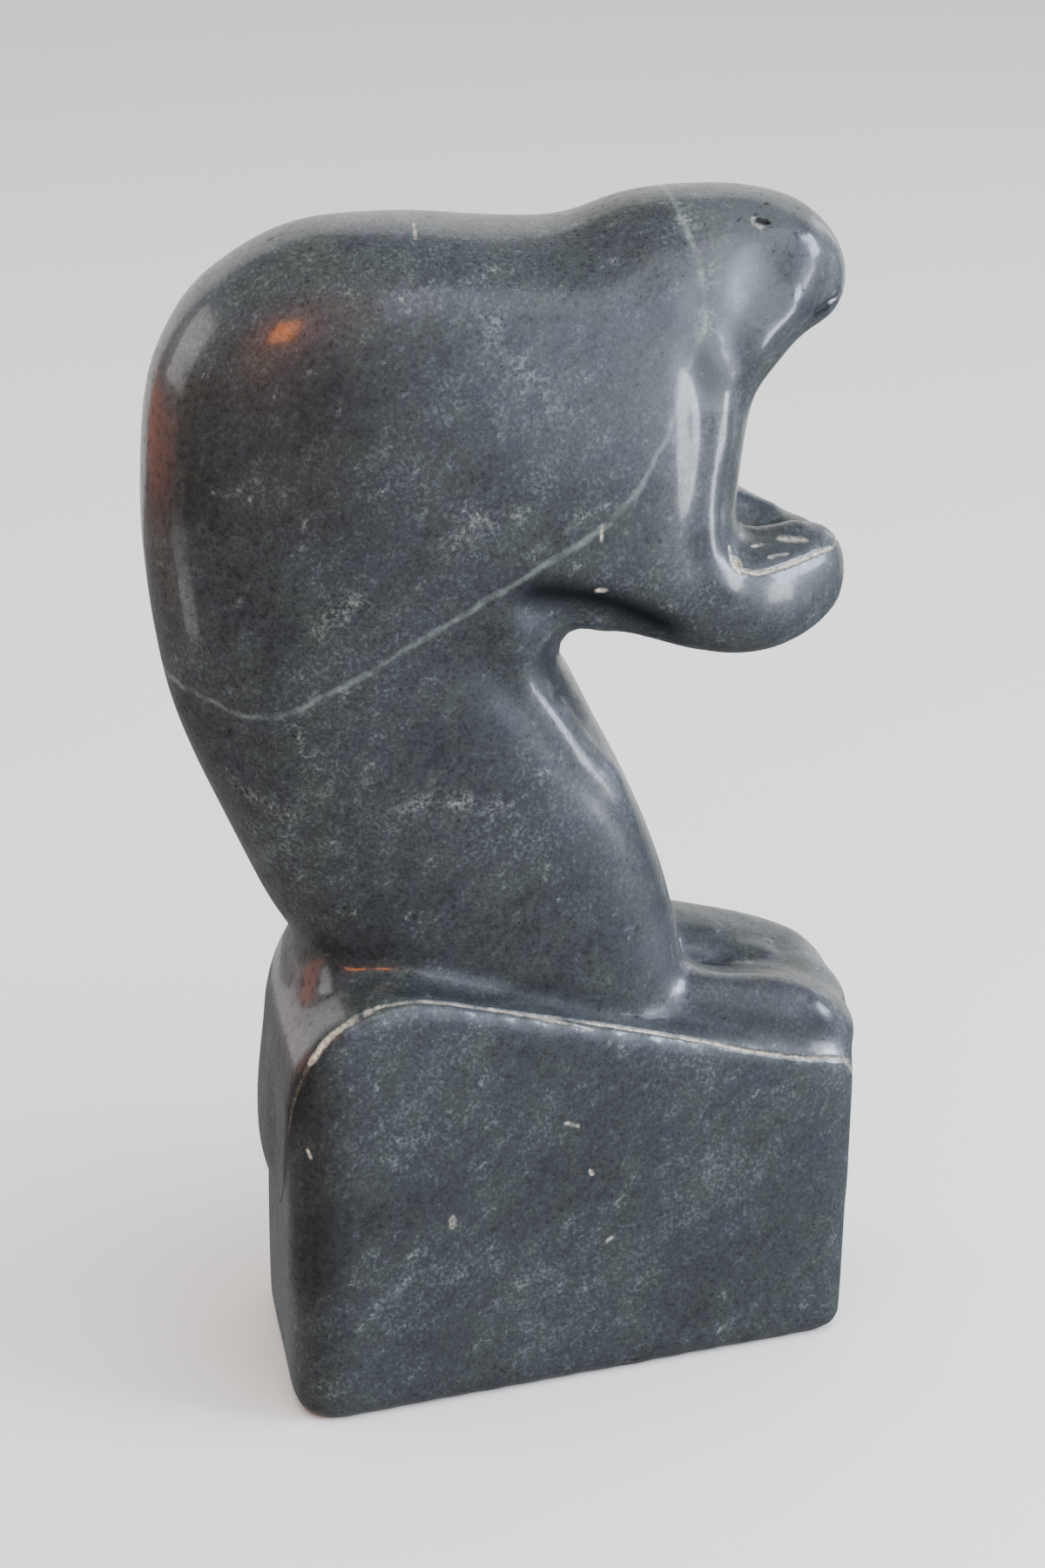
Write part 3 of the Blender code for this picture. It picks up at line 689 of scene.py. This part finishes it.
def face_target(obj, target, azimuth, elevation, distance):
    """Puts a lamp or the camera round the target by two angles in degrees, and turns it to it."""
    a, e = math.radians(azimuth), math.radians(elevation)
    back = Vector((math.sin(a) * math.cos(e), -math.cos(a) * math.cos(e), math.sin(e)))
    obj.location = target + back * distance
    obj.rotation_euler = (-back).to_track_quat("-Z", "Y").to_euler()


def add_softbox(name, azimuth, elevation, distance, width, height, power, colour):
    """A soft lamp that faces the carving's middle."""
    lamp = bpy.data.lights.new(name, "AREA")
    lamp.shape = "RECTANGLE"
    lamp.size = width
    lamp.size_y = height
    lamp.energy = power * bpy.context.scene.stage_sizes.light
    lamp.color = linear(colour)[:3]
    box = bpy.data.objects.new(name, lamp)
    face_target(box, LAMP_TARGET, azimuth, elevation, distance)
    bpy.context.scene.collection.objects.link(box)
    return box


def plain_floor():
    """The pale matt floor."""
    material = bpy.data.materials.new("plain_floor")
    material.use_nodes = True
    shader = material.node_tree.nodes["Principled BSDF"]
    shader.inputs["Base Color"].default_value = linear(FLOOR_COLOUR)
    shader.inputs["Roughness"].default_value = 0.7
    return material


class SOAPSTONE_OT_stage(bpy.types.Operator):
    """Set the floor, the lamps and the camera"""

    bl_idname = "soapstone.stage"
    bl_label = "Set the stage"

    def execute(self, context):
        scene = context.scene
        bm = bmesh.new()
        bmesh.ops.create_circle(bm, cap_ends=True, segments=64, radius=scene.stage_sizes.floor_radius)
        bmesh.ops.translate(bm, vec=(0, 0, -FLOOR_GAP), verts=bm.verts)
        mesh = bpy.data.meshes.new("floor")
        bm.to_mesh(mesh)
        bm.free()
        mesh.materials.append(plain_floor())
        floor = bpy.data.objects.new("floor", mesh)
        scene.collection.objects.link(floor)
        floor.visible_glossy = False
        for name, settings in LAMPS.items():
            add_softbox(name, *settings)
        # The polish would mirror the overhead lamp as a white patch
        overhead = add_softbox("overhead", *OVERHEAD)
        overhead.visible_glossy = False
        world = bpy.data.worlds.new("studio")
        world.use_nodes = True
        air = world.node_tree.nodes["Background"]
        air.inputs["Color"].default_value = linear(AIR_COLOUR)
        air.inputs["Strength"].default_value = AIR_STRENGTH
        scene.world = world
        data = bpy.data.cameras.new("camera")
        data.lens = CAMERA_LENS
        data.sensor_width = CAMERA_SENSOR
        data.clip_start = CAMERA_CLIP
        camera = bpy.data.objects.new("camera", data)
        scene.collection.objects.link(camera)
        face_target(camera, CAMERA_TARGET, CAMERA_AZIMUTH, CAMERA_ELEVATION, CAMERA_DISTANCE)
        scene.camera = camera
        return {"FINISHED"}


class SOAPSTONE_PT_panel(bpy.types.Panel):
    """The carving's sizes, colours and steps"""

    bl_idname = "SOAPSTONE_PT_panel"
    bl_label = "Soapstone Bear"
    bl_space_type = "VIEW_3D"
    bl_region_type = "UI"
    bl_category = "Carving"

    def draw(self, context):
        scene = context.scene
        for group in (scene.stone_sizes, scene.stone_colours, scene.stage_sizes):
            for name in group.__annotations__:
                self.layout.prop(group, name)
        self.layout.operator(SOAPSTONE_OT_carving.bl_idname)
        self.layout.operator(SOAPSTONE_OT_stage.bl_idname)


CLASSES = (StoneSizes, StoneColours, StageSizes, SOAPSTONE_OT_carving, SOAPSTONE_OT_stage,
           SOAPSTONE_PT_panel)


def register():
    for cls in CLASSES:
        bpy.utils.register_class(cls)
    bpy.types.Scene.stone_sizes = PointerProperty(type=StoneSizes)
    bpy.types.Scene.stone_colours = PointerProperty(type=StoneColours)
    bpy.types.Scene.stage_sizes = PointerProperty(type=StageSizes)


def unregister():
    for name in ("stone_sizes", "stone_colours", "stage_sizes"):
        delattr(bpy.types.Scene, name)
    for cls in reversed(CLASSES):
        bpy.utils.unregister_class(cls)


def main():
    register()
    bpy.ops.soapstone.carving()
    bpy.ops.soapstone.stage()


if __name__ == "__main__":
    main()
